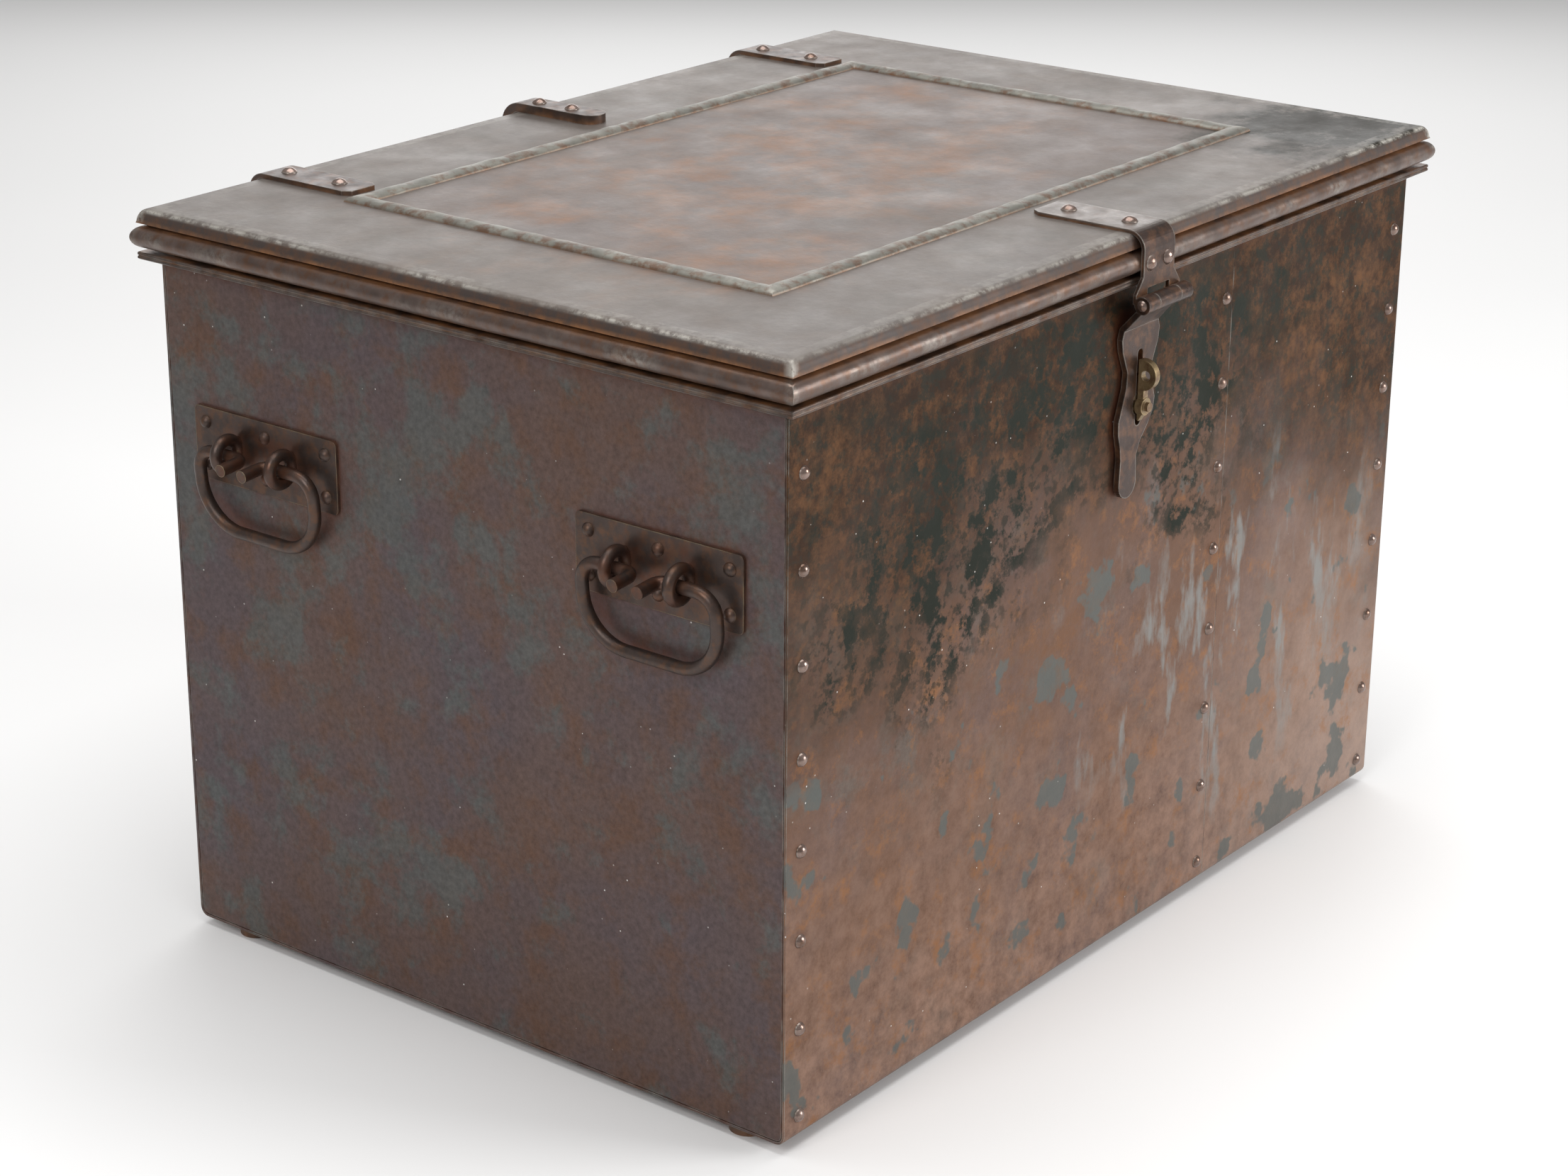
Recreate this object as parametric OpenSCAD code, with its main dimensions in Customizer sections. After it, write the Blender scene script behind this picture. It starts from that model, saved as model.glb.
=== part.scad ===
// Riveted sheet-iron strongbox: a deep chest with a moulded lid on strap hinges, a hasp over a
// swivel staple, and two bail handles on each end.
// Frame: X runs left to right along the front, Y from front to back, Z up. The origin is on the
// ground under the middle of the chest, and the front with the hasp faces -Y.

/* [Body] */
// Width of the body over its end plates
body_w = 864; // [760:2:960]
// Depth of the body over its front and back sheets
body_d = 616; // [560:2:680]
// Height of the body sheets
body_h = 560; // [520:2:640]
// Thickness of the body sheets
sheet = 2; // [1.5:0.5:2.5]
// Width of the flanges that the end plates turn into the body
flange_w = 32; // [28:1:40]
// Outside radius of the bends along the bottom edges
bend_r = 8; // [6:1:12]
// Distance of the lap seam from the left end
seam_from_left = 570; // [400:5:640]
// Overlap of the lap seam to each side of its rivets
seam_lap = 10; // [8:1:14]
// Height of the two runners under the body
runner_h = 8; // [6:1:16]
// Width of each runner
runner_w = 30; // [24:1:50]
// Distance of each runner's centre line from the front or back
runner_inset = 48; // [36:1:90]

/* [Rim and lid] */
// Height of the rim bar around the mouth
rim_h = 10; // [8:1:14]
// How far the rim stands out from the body
rim_out = 13; // [10:0.5:15]
// Gap between the rim and the closed lid
lid_gap = 2; // [1:0.5:3]
// Height of the lid from its lower edge to its top
lid_h = 32; // [32:1:36]
// Thickness of the lid sheet
lid_sheet = 2.5; // [2:0.5:3]
// How far the lid's skirt stands out from the body
skirt_out = 7; // [6:0.5:8]
// Height of the half-round bead around the lid
bead_h = 19; // [16:1:19]
// Projection of the bead from the skirt
bead_out = 10.3; // [8:0.1:10.3]
// Width of the half-round moulding on the lid
moulding_w = 17; // [12:1:22]
// Height of that moulding
moulding_h = 4.6; // [3:0.2:6]
// Distance of the moulding's outer foot from the body's ends
moulding_margin_x = 104; // [90:1:160]
// Distance of the moulding's outer foot from the body's front and back
moulding_margin_y = 96; // [90:1:110]

/* [Rivets] */
// Diameter of the dome heads
rivet_head_d = 11; // [9:0.5:14]
// Height of the dome heads
rivet_head_h = 4; // [3:0.5:5]
// Diameter of the rivet shanks
rivet_d = 5; // [4:0.5:6]
// Spacing of the rivets up the corners and the seam
rivet_pitch = 71; // [60:1:72]
// Number of rivets in each upright column
rivets_up = 8; // [4:1:8]
// Height of the lowest rivet above the body's underside
rivet_first = 19.5; // [16:0.5:24]
// Distance of the corner rivets from the ends
rivet_edge = 17; // [14:1:20]

/* [Handles] */
// Width of each handle plate
plate_w = 154; // [140:1:170]
// Height of each handle plate
plate_h = 59; // [50:1:70]
// Thickness of each handle plate
plate_t = 3; // [2:0.5:4]
// Height of the handle plates' centre above the body's underside
plate_z = 423.5; // [300:0.5:440]
// Distance of the front handles' centre behind the front
handle_front = 113.5; // [100:0.5:180]
// Distance of the rear handles' centre from the back
handle_rear = 108; // [100:0.5:180]
// Diameter of the bail rod
bail_rod = 10; // [8:1:11]
// Width of the bail between the centre lines of its sides
bail_w = 124; // [116:1:126]
// Drop of the bail from its pivot to the centre line of its grip
bail_drop = 64; // [60:1:70]
// Distance between the two eyes of a handle
eye_span = 59; // [50:1:60]
// Length of the bail's stop ends from the pivot
stub_len = 24.5; // [20:0.5:26]
// Angle that the hanging bail leans towards the wall
bail_lean = 5; // [0:1:6]

/* [Hinges and hasp] */
// Distance of the hasp's pivot in front of the body
hasp_pivot_out = 26; // [26:0.5:28]
// Distance of the hinge pivots behind the body
pivot_out = 22; // [21:0.5:23]
// Outside diameter of the knuckles
knuckle_d = 14; // [12:0.5:14]
// Diameter of the hinge pins
pin_d = 6; // [4:0.5:7]
// Left hinge's distance from the body's centre line
hinge_left = 299; // [200:1:340]
// Right hinge's distance from the body's centre line
hinge_right = 311; // [200:1:340]
// Width of the lid's hinge straps
hinge_strap_w = 35; // [30:1:44]
// Length of the hinge straps along the lid
hinge_strap_len = 89; // [80:1:90]
// Width of the stop bar between the hinges
stop_w = 26; // [20:1:34]
// Length of the stop bar along the lid
stop_len = 78; // [60:1:84]
// Width of the hasp's strap on the lid
hasp_strap_w = 43; // [36:1:50]
// Length of the hasp's strap along the lid
hasp_strap_len = 84; // [60:1:86]
// Thickness of the hasp plate
hasp_t = 5; // [4:0.5:5]
// Distance from the hasp's pivot down to its tip
hasp_len = 163; // [155:1:180]
// How far the hasp's tail leans to the left
hasp_lean = 11; // [0:1:12]
// Distance from the hasp's pivot down to the swivel
staple_drop = 89.5; // [88:0.5:92]
// Width of the slot in the hasp
slot_w = 7.6; // [7.4:0.1:8]
// Diameter of the padlock hole in the swivel
padlock_hole_d = 8; // [6:0.5:8]

/* [Hidden] */
$fn = 48;

// Colours
iron = [0.33, 0.25, 0.22];
dark_iron = [0.24, 0.20, 0.19];
worn_iron = [0.46, 0.40, 0.36];
brass = [0.50, 0.40, 0.22];

// Small clearances
free_gap = 0.3;
fit_gap = 0.08;
snug_gap = 0.02;
knuckle_gap = 0.5;
mitre_gap = 0.1;

// Levels
body_z = runner_h;
body_top = body_z + body_h;
rim_top = body_top + rim_h;
lid_z = rim_top + lid_gap;
lid_top = lid_z + lid_h;
half_w = body_w / 2;
half_d = body_d / 2;
far = 2 * body_w;

// Seam and rivet places
seam_x = seam_from_left - half_w;
seam_edge = seam_x + seam_lap;
seam_slack = 0.4;
joggle_step = 4;
column_x = half_w - rivet_edge;
floor_rivets = 7;
floor_pitch = 70;
tail_d = 9;
tail_h = 1.5;

// Groove that the bends of the end plates leave beside the body sheets
bend_groove = 1;

// Runners
runner_y = half_d - runner_inset;
runner_len = body_w - 8;
runner_rivet_x = [-340, -90, 90, 340];

// Rim, skirt and moulding sections
rim_in = 6;
cove_h = 4;
nick = 0.7;
crown_h = 11;
crown_out = 7.5;
groove_h = 1;
border_in = 4;

// Handles
front_y = -half_d + handle_front;
rear_y = half_d - handle_rear;
plate_corner = 4;
plate_rivet_y = 65;
plate_rivet_z = 17;
eye_rod = 9.6;
eye_ring_r = 11.5;
eye_out = plate_t + 12.5;
eye_z = plate_z + body_z + 1;
eye_shank_d = 8;
eye_tail_d = 15;
eye_tail_h = 3;
bail_z = eye_z - (eye_ring_r - eye_rod / 2 - bail_rod / 2 - free_gap);
shoulder_y = eye_span / 2 + 15.5;
shoulder_r = bail_w / 2 - shoulder_y;
lower_r = 38;
stub_bend = 8;
stub_y = 11.5;

// Pivots
rear_pivot_y = half_d + pivot_out;
rear_pivot_z = body_top;
hasp_pivot_y = -half_d - hasp_pivot_out;
hasp_pivot_z = lid_z - 19.5;
knuckle_r = knuckle_d / 2;

// Straps over the edge of the lid
edge_out = skirt_out + bead_out + free_gap;
edge_r = 12;
crown_in = edge_out - edge_r - 0.1;
hinge_strap_t = 4;
hasp_strap_t = 3;
strap_clip = 7;
strap_rivet_d = 13;
hinge_half = 31;
hinge_mid = 15;
leaf_t = 3;
leaf_len = 118;
leaf_top = body_top - 15;
leaf_rivet_first = 20;
leaf_rivet_pitch = 38;
hinge_rivets_in = [7, 63];
pin_head_r = 5;
pin_head_h = 3;

// Stop bar: its hooked tail meets the back sheet when the lid is past upright
stop_t = 8;
stop_lag = 23;
stop_reach = pivot_out - 3.8;
stop_rivets_in = [7, 44];

// Hasp strap and barrel
hasp_rivets_in = [7.5, 63];
hasp_drop_rivet_x = 12;
hasp_half_barrel = 31;
hasp_mid = 15;

// Hasp plate: half widths down the plate, at distances below the pivot
hasp_back = 2.3;
hasp_y = -half_d - hasp_back - hasp_t / 2;
hasp_bend_drop = 24.5;
hasp_half = [[0, 14], [7.2, 14], [8.4, 23], [24.5, 24], [32, 26.5], [42, 25], [60, 17], [72, 18],
             [88, 23.5], [98, 24.5], [108, 21], [120, 14], [130, 11], [140, 11.5], [151, 12]];
hasp_foot_r = 12;
slot_top = 44;
slot_bottom = 106;
slot_eye_d = 16;
slot_eye_rise = 2;

// Swivel staple
staple_z = hasp_pivot_z - staple_drop;
fin_t = 6;
fin_back = 8.3;
hub_d = 14;
hub_front = 14.5;
shank_d = 6.4;
cap_d = 7.4;
cap_front = 18;
bush_flange_d = 26;
bush_flange_t = 1.5;
bush_d = 14;
bush_in = 8;
lobe_r = 12.5;
lobe_y = 11.5;
lobe_up = 25.5;
padlock_y = 14.8;
washer_t = 1.5;
nut_h = 6;
nut_af = 12;

// Points on an arc about [cy, cz]
function arc(cy, cz, r, a0, a1, n = 12) =
    [for (i = [0:n]) [cy + r * cos(a0 + (a1 - a0) * i / n), cz + r * sin(a0 + (a1 - a0) * i / n)]];

// Half of an ellipse that stands on a flat foot
function half_round(half_base, rise, n = 14) =
    [for (i = [0:n]) [half_base * cos(180 * i / n), rise * sin(180 * i / n)]];

// Section of a sheet bent up at the front and back, as outline half_y wide from z0 to z1
function tub(half_y, z0, z1, r) =
    concat([[-half_y, z1]], arc(-half_y + r, z0 + r, r, 180, 270, 6),
           arc(half_y - r, z0 + r, r, 270, 360, 6), [[half_y, z1]]);

// Places up the corner and seam columns, and across the floor
function column_z(i) = body_z + rivet_first + i * rivet_pitch;
function floor_rivet_y(i) = (i - (floor_rivets - 1) / 2) * floor_pitch;

// ---- helpers ----

// A section in the YZ plane, drawn out along X between two places
module along_x(x0, x1) {
    translate([x0, 0, 0])
        rotate([90, 0, 90])
            linear_extrude(x1 - x0)
                children();
}

// A shape in the XZ plane, drawn out along Y between two places
module along_y(y0, y1) {
    translate([0, y1, 0])
        rotate([90, 0, 0])
            linear_extrude(y1 - y0)
                children();
}

// A bar of the given section around a rectangle, in four lengths mitred at the corners.
// Section points are [distance outward from the rectangle, height]. A gap keeps the lengths apart.
module mitred_bar(size_x, size_y, section, gap = 0) {
    out = 40;
    in = 60;
    for (side = [0:3]) {
        half_len = (side % 2 == 0 ? size_x : size_y) / 2;
        face_y = -(side % 2 == 0 ? size_y : size_x) / 2;
        rotate([0, 0, 90 * side])
            intersection() {
                along_x(-half_len - out, half_len + out)
                    translate([face_y, 0])
                        mirror([1, 0])
                            polygon(section);
                linear_extrude(far)
                    polygon([[gap - half_len - out, face_y - out], [half_len + out - gap, face_y - out],
                             [half_len - in - gap, face_y + in], [gap - half_len + in, face_y + in]]);
            }
    }
}

// A dome-headed rivet: the head stands on Z = 0 and the shank goes down through the plates
module rivet(grip, head_d = rivet_head_d, tail = true) {
    ball_r = (head_d * head_d / 4 + rivet_head_h * rivet_head_h) / (2 * rivet_head_h);
    intersection() {
        translate([0, 0, rivet_head_h - ball_r])
            sphere(r = ball_r);
        cylinder(d = head_d + 1, h = rivet_head_h + 1);
    }
    translate([0, 0, -grip])
        cylinder(d = rivet_d, h = grip + 0.5);
    if (tail)
        translate([0, 0, -grip - tail_h])
            cylinder(d = tail_d, h = tail_h);
}

module rivet_hole(length = 40) {
    cylinder(d = rivet_d + 2 * snug_gap, h = length, center = true);
}

// Turns a rivet's axis to face the front, the back or the ground
module face_front() {
    rotate([90, 0, 0]) children();
}

module face_back() {
    rotate([-90, 0, 0]) children();
}

module face_ground() {
    rotate([180, 0, 0]) children();
}

// One column of rivets at x: up the front, up the back and across the floor
module wrap_rivets(x, grip) {
    for (i = [0:rivets_up - 1]) {
        translate([x, -half_d, column_z(i)]) face_front() rivet(grip);
        translate([x, half_d, column_z(i)]) face_back() rivet(grip);
    }
    for (i = [0:floor_rivets - 1])
        translate([x, floor_rivet_y(i), body_z]) face_ground() rivet(grip);
}

module wrap_rivet_holes(x) {
    for (i = [0:rivets_up - 1])
        translate([x, 0, column_z(i)]) face_front() rivet_hole(far);
    for (i = [0:floor_rivets - 1])
        translate([x, floor_rivet_y(i), body_z]) rivet_hole();
}

// ---- body ----

// End plate with flanges turned inward along the front, the floor and the back.
// It is drawn for the left end, with its outer face at X = -half_w.
module end_plate() {
    color(iron)
        difference() {
            union() {
                along_x(-half_w, -half_w + sheet)
                    polygon(tub(half_d - sheet - bend_groove, body_z + sheet + bend_groove, body_top,
                                bend_r - sheet - bend_groove));
                along_x(-half_w + bend_groove, -half_w + flange_w)
                    difference() {
                        polygon(tub(half_d - sheet, body_z + sheet, body_top, bend_r - sheet));
                        polygon(tub(half_d - 2 * sheet, body_z + 2 * sheet, body_top + 1,
                                    bend_r - 2 * sheet));
                    }
            }
            wrap_rivet_holes(-column_x);
            for (y = [front_y, rear_y])
                handle_at(y) handle_holes();
        }
}

module wrap_section(inset) {
    difference() {
        polygon(tub(half_d - inset, body_z + inset, body_top, bend_r - inset));
        polygon(tub(half_d - inset - sheet, body_z + inset + sheet, body_top + 1,
                    bend_r - inset - sheet));
    }
}

module runner_rivet_holes() {
    for (x = runner_rivet_x, y = [-runner_y, runner_y])
        translate([x, y, 0]) rivet_hole();
}

module wrap_sheet_left() {
    color(iron)
        difference() {
            along_x(-half_w, seam_edge) wrap_section(0);
            wrap_rivet_holes(-column_x);
            wrap_rivet_holes(seam_x);
            runner_rivet_holes();
            leaf_at(-hinge_left) leaf_holes();
            translate([0, -half_d, staple_z]) face_front() bush_hole();
        }
}

module wrap_sheet_right() {
    color(iron)
        difference() {
            union() {
                along_x(seam_edge + seam_slack, half_w) wrap_section(0);
                along_x(seam_x - seam_lap, seam_edge + joggle_step) wrap_section(sheet);
            }
            wrap_rivet_holes(column_x);
            wrap_rivet_holes(seam_x);
            runner_rivet_holes();
            leaf_at(hinge_right) leaf_holes();
        }
}

// Bar around the mouth: a cove under a double lip
module rim_frame() {
    cove = [for (a = [0:15:90]) [rim_out - 1 - (rim_out - 2) * sin(a), body_top + cove_h * cos(a)]];
    mid = (body_top + cove_h + rim_top) / 2;
    section = concat(
        [[-rim_in, body_top], [-rim_in, rim_top], [rim_out - nick, rim_top],
         [rim_out, rim_top - nick], [rim_out, mid + nick], [rim_out - nick, mid],
         [rim_out, mid - nick], [rim_out, body_top + cove_h + nick]], cove);
    color(dark_iron) mitred_bar(body_w, body_d, section, mitre_gap);
}

module runner(y) {
    color(dark_iron)
        difference() {
            translate([0, y, 0])
                linear_extrude(runner_h) {
                    square([runner_len - runner_w, runner_w], center = true);
                    for (side = [-1, 1])
                        translate([side * (runner_len - runner_w) / 2, 0])
                            circle(d = runner_w);
                }
            runner_rivet_holes();
        }
}

module runner_rivets() {
    color(worn_iron)
        for (x = runner_rivet_x, y = [-runner_y, runner_y])
            translate([x, y, body_z + sheet])
                rivet(body_z + sheet - 0.5, tail = false);
}

// ---- handles ----

// Places a child in a handle's own frame at the left end: X outward, Z up, the end face at X = 0
module handle_at(y) {
    translate([-half_w, y, 0])
        mirror([1, 0, 0])
            children();
}

module plate_rivet_places() {
    for (y = [-plate_rivet_y, 0, plate_rivet_y], z = [-plate_rivet_z, plate_rivet_z])
        translate([plate_t, y, body_z + plate_z + z])
            rotate([0, 90, 0])
                children();
}

module eye_places() {
    for (side = [-1, 1])
        translate([0, side * eye_span / 2, eye_z])
            children();
}

module handle_holes() {
    plate_rivet_places() rivet_hole();
    eye_places()
        rotate([0, 90, 0])
            cylinder(d = eye_shank_d + 2 * snug_gap, h = 4 * eye_out, center = true);
}

module rounded_rectangle(w, h, r) {
    polygon(concat(arc(w / 2 - r, h / 2 - r, r, 0, 90, 6), arc(-w / 2 + r, h / 2 - r, r, 90, 180, 6),
                   arc(-w / 2 + r, -h / 2 + r, r, 180, 270, 6),
                   arc(w / 2 - r, -h / 2 + r, r, 270, 360, 6)));
}

module handle_plate(y) {
    color(dark_iron)
        handle_at(y)
            difference() {
                along_x(0, plate_t)
                    translate([0, body_z + plate_z])
                        rounded_rectangle(plate_w, plate_h, plate_corner);
                handle_holes();
            }
}

module plate_rivets(y) {
    color(worn_iron)
        handle_at(y)
            plate_rivet_places()
                rivet(plate_t + sheet);
}

// Two forged rings that stand on the plate, each on a shank that is headed inside the body
module bail_eyes(y) {
    color(dark_iron)
        handle_at(y)
            eye_places() {
                intersection() {
                    translate([eye_out, 0, 0])
                        rotate([90, 0, 0])
                            rotate_extrude()
                                translate([eye_ring_r, 0])
                                    circle(d = eye_rod);
                    translate([plate_t, -eye_rod, -2 * eye_ring_r])
                        cube([4 * eye_ring_r, 2 * eye_rod, 4 * eye_ring_r]);
                }
                rotate([0, 90, 0])
                    translate([0, 0, -sheet])
                        cylinder(d = eye_shank_d, h = sheet + plate_t + eye_rod / 2);
                rotate([0, 90, 0])
                    translate([0, 0, -sheet - eye_tail_h])
                        cylinder(d = eye_tail_d, h = eye_tail_h);
            }
}

// Part of a round bend of the bail's rod, in the XY plane about the origin
module rod_bend(r, a0, sweep) {
    rotate([0, 0, a0])
        rotate_extrude(angle = sweep)
            translate([r, 0])
                circle(d = bail_rod);
}

// One half of the bail, on the +Y side: grip, lower bend, shoulder, pivot and stop end
module bail_half() {
    lower_z = -bail_drop + lower_r;
    lower_y = bail_w / 2 - lower_r;
    rotate([-90, 0, 0])
        translate([0, bail_drop, -0.01])
            cylinder(d = bail_rod, h = lower_y + 0.02);
    translate([0, lower_y, lower_z])
        rotate([90, 0, 90])
            rod_bend(lower_r, -90, 90);
    translate([0, bail_w / 2, lower_z - 0.01])
        cylinder(d = bail_rod, h = -shoulder_r - lower_z + 0.02);
    translate([0, shoulder_y, -shoulder_r])
        rotate([90, 0, 90])
            rod_bend(shoulder_r, 0, 90);
    rotate([-90, 0, 0])
        translate([0, 0, stub_y + stub_bend - 0.01])
            cylinder(d = bail_rod, h = shoulder_y - stub_y - stub_bend + 0.02);
    translate([stub_bend, stub_y + stub_bend, 0])
        rod_bend(stub_bend, 180, 90);
    rotate([0, 90, 0])
        translate([0, stub_y, stub_bend - 0.01])
            cylinder(d = bail_rod, h = stub_len - stub_bend);
}

module bail(y) {
    color(dark_iron)
        handle_at(y)
            translate([eye_out, 0, bail_z])
                rotate([0, bail_lean, 0]) {
                    bail_half();
                    mirror([0, 1, 0]) bail_half();
                }
}

// ---- swivel staple ----

module bush_hole() {
    translate([0, 0, -bush_in - 1])
        cylinder(d = bush_d + 2 * snug_gap, h = bush_in + 2);
}

// Flanged bush in the front sheet that the staple's shank turns in
module staple_bush() {
    color(dark_iron)
        translate([0, -half_d, staple_z])
            face_front()
                difference() {
                    union() {
                        cylinder(d = bush_flange_d, h = bush_flange_t);
                        translate([0, 0, -bush_in])
                            cylinder(d = bush_d, h = bush_in + bush_flange_t);
                    }
                    translate([0, 0, -bush_in - 1])
                        cylinder(d = shank_d + 2 * fit_gap, h = bush_in + bush_flange_t + 2);
                }
}

// Fin with a round padlock lobe above its hub, turning on a shank through the bush
module swivel_staple() {
    lobe = arc(-lobe_y, lobe_up, lobe_r, 75, 260, 24);
    tail = [[-lobe_y - 2.1, 7], [-12.5, -7], [-9.5, -12], [-fin_back, -11], [-fin_back, 25]];
    color(brass)
        translate([0, -half_d, staple_z]) {
            difference() {
                along_x(-fin_t / 2, fin_t / 2)
                    polygon(concat(lobe, tail));
                translate([0, -padlock_y, lobe_up])
                    rotate([0, 90, 0])
                        cylinder(d = padlock_hole_d, h = 2 * fin_t, center = true);
            }
            face_front() {
                translate([0, 0, fin_back]) cylinder(d = hub_d, h = hub_front - fin_back);
                translate([0, 0, hub_front - 0.5]) cylinder(d = cap_d, h = cap_front - hub_front + 0.5);
                translate([0, 0, -bush_in - washer_t - nut_h - 2])
                    cylinder(d = shank_d, h = bush_in + washer_t + nut_h + 2 + fin_back + 1);
            }
        }
}

module staple_washer() {
    color(dark_iron)
        translate([0, -half_d + bush_in + free_gap, staple_z])
            face_back()
                difference() {
                    cylinder(d = bush_d + 4, h = washer_t);
                    translate([0, 0, -1]) cylinder(d = shank_d + 2 * snug_gap, h = washer_t + 2);
                }
}

module staple_nut() {
    color(dark_iron)
        translate([0, -half_d + bush_in + free_gap + washer_t, staple_z])
            face_back()
                difference() {
                    cylinder(d = nut_af / cos(30), h = nut_h, $fn = 6);
                    translate([0, 0, -1]) cylinder(d = shank_d + 2 * snug_gap, h = nut_h + 2);
                }
}

// ---- rear hinges ----

module leaf_at(x) {
    translate([x, half_d, 0]) children();
}

module leaf_rivet_places() {
    for (i = [0:2])
        translate([0, 0, leaf_top - leaf_len + leaf_rivet_first + i * leaf_rivet_pitch])
            face_back()
                children();
}

module leaf_holes() {
    leaf_rivet_places() rivet_hole();
}

// Plate on the back sheet, cranked out to two knuckles
module hinge_leaf(x) {
    color(dark_iron)
        leaf_at(x)
            difference() {
                union() {
                    translate([-hinge_half, 0, leaf_top - leaf_len])
                        cube([2 * hinge_half, leaf_t, leaf_len]);
                    for (side = [-1, 1])
                        along_x(side < 0 ? -hinge_half : hinge_mid + knuckle_gap,
                                side < 0 ? -hinge_mid - knuckle_gap : hinge_half) {
                            polygon([[0, leaf_top - 6], [leaf_t, leaf_top - 6],
                                     [pivot_out + 1, body_top - knuckle_r + 0.4],
                                     [pivot_out - 4, body_top - 2],
                                     [0, leaf_top]]);
                            translate([pivot_out, body_top])
                                circle(r = knuckle_r);
                        }
                }
                leaf_holes();
                translate([0, pivot_out, body_top])
                    rotate([0, 90, 0])
                        cylinder(d = pin_d + 2 * snug_gap, h = 4 * hinge_half, center = true);
            }
}

module leaf_rivets(x) {
    color(worn_iron)
        leaf_at(x)
            leaf_rivet_places()
                translate([0, 0, leaf_t])
                    rivet(leaf_t + sheet);
}

module pin(half_len) {
    rotate([0, 90, 0])
        cylinder(d = pin_d, h = 2 * half_len, center = true);
    for (side = [-1, 1])
        translate([side * half_len, 0, 0])
            rotate([0, side * 90, 0])
                intersection() {
                    translate([0, 0, pin_head_h - pin_head_r]) sphere(r = pin_head_r);
                    translate([0, 0, 0.1]) cylinder(r = pin_head_r, h = pin_head_h);
                }
}

module hinge_pin(x) {
    color(worn_iron)
        translate([x, rear_pivot_y, rear_pivot_z])
            pin(hinge_half);
}

// ---- lid ----

// Flat sheet that closes the lid, let into the border
module lid_top_sheet() {
    color(iron)
        difference() {
            translate([border_in - half_w, border_in - half_d, lid_top - lid_sheet])
                cube([body_w - 2 * border_in, body_d - 2 * border_in, lid_sheet]);
            lid_rivet_holes();
        }
}

// Crowned border of the lid over a plain skirt
module lid_border() {
    crown = [for (a = [0:9:90]) [crown_in + crown_out * cos(a), lid_top - crown_h * (1 - sin(a))]];
    section = concat(
        [[skirt_out, lid_z], [skirt_out, lid_z + bead_h + 0.4],
         [skirt_out + 1.2, lid_top - crown_h - groove_h]], crown,
        [[-border_in, lid_top], [-border_in, lid_top - lid_sheet],
         [skirt_out - lid_sheet, lid_top - lid_sheet], [skirt_out - lid_sheet, lid_z]]);
    color(iron)
        difference() {
            mitred_bar(body_w, body_d, section, mitre_gap);
            hasp_strap_drop_places() rivet_hole();
        }
}

module lid_rivet_holes() {
    for (x = [-hinge_left, hinge_right])
        hinge_strap_rivet_places(x) rivet_hole();
    stop_rivet_places() rivet_hole();
    hasp_strap_top_places() rivet_hole();
}

module lid_bead() {
    section = [for (a = [-90:15:90]) [skirt_out + bead_out * cos(a), lid_z + bead_h / 2 * (1 + sin(a))]];
    color(dark_iron)
        difference() {
            mitred_bar(body_w, body_d, section, mitre_gap);
            hasp_strap_drop_places() rivet_hole();
        }
}

module lid_moulding() {
    round = half_round(moulding_w / 2, moulding_h);
    section = [for (p = round) [p[0], lid_top + p[1]]];
    color(dark_iron)
        mitred_bar(body_w - 2 * moulding_margin_x - moulding_w,
                   body_d - 2 * moulding_margin_y - moulding_w, section, mitre_gap);
}

// Side view of a strap that runs out along the lid, bends over its edge and drops to drop_z.
// Y is measured outward from the body's face.
module strap_profile(length, t, drop_z) {
    bend_y = edge_out - edge_r;
    bend_z = lid_top - edge_r;
    outer = arc(bend_y, bend_z, edge_r + t, 90, 0, 10);
    inner = arc(bend_y, bend_z, edge_r, 0, 90, 10);
    polygon(concat([[-length, lid_top + t]], outer, [[edge_out + t, drop_z], [edge_out, drop_z]],
                   inner, [[-length, lid_top]]));
}

// Plan of a strap's free end: a width w with clipped corners, from y = -length outward
module strap_plan(w, length, clip) {
    linear_extrude(far)
        polygon([[-w / 2, 100], [-w / 2, -length + clip], [-w / 2 + clip * 0.7, -length],
                 [w / 2 - clip * 0.7, -length], [w / 2, -length + clip], [w / 2, 100]]);
}

module hinge_strap_rivet_places(x) {
    for (in = hinge_rivets_in)
        translate([x, half_d - in, lid_top])
            children();
}

module stop_rivet_places() {
    for (in = stop_rivets_in)
        translate([0, half_d - in, lid_top])
            children();
}

module hasp_strap_top_places() {
    for (in = hasp_rivets_in)
        translate([0, -half_d + in, lid_top])
            children();
}

module hasp_strap_drop_places() {
    for (x = [-hasp_drop_rivet_x, hasp_drop_rivet_x])
        translate([x, -half_d - edge_out, lid_z + bead_h / 2])
            face_front()
                children();
}

module hinge_strap(x) {
    color(dark_iron)
        difference() {
            translate([x, half_d, 0])
                difference() {
                    union() {
                        intersection() {
                            along_x(-hinge_strap_w / 2, hinge_strap_w / 2)
                                strap_profile(hinge_strap_len, hinge_strap_t, body_top + 12);
                            strap_plan(hinge_strap_w, hinge_strap_len, strap_clip);
                        }
                        along_x(-hinge_mid, hinge_mid) {
                            polygon([[edge_out, body_top + 13], [edge_out + hinge_strap_t, body_top + 13],
                                     [pivot_out - 1, body_top + knuckle_r - 0.3],
                                     [pivot_out - knuckle_r + 0.3, body_top]]);
                            translate([pivot_out, body_top]) circle(r = knuckle_r);
                        }
                    }
                    translate([0, pivot_out, body_top])
                        rotate([0, 90, 0])
                            cylinder(d = pin_d + 2 * fit_gap, h = 2 * hinge_strap_w, center = true);
                }
            hinge_strap_rivet_places(x) rivet_hole();
        }
}

module strap_rivets(x) {
    color(worn_iron)
        hinge_strap_rivet_places(x)
            translate([0, 0, hinge_strap_t])
                rivet(hinge_strap_t + lid_sheet, strap_rivet_d);
}

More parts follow.
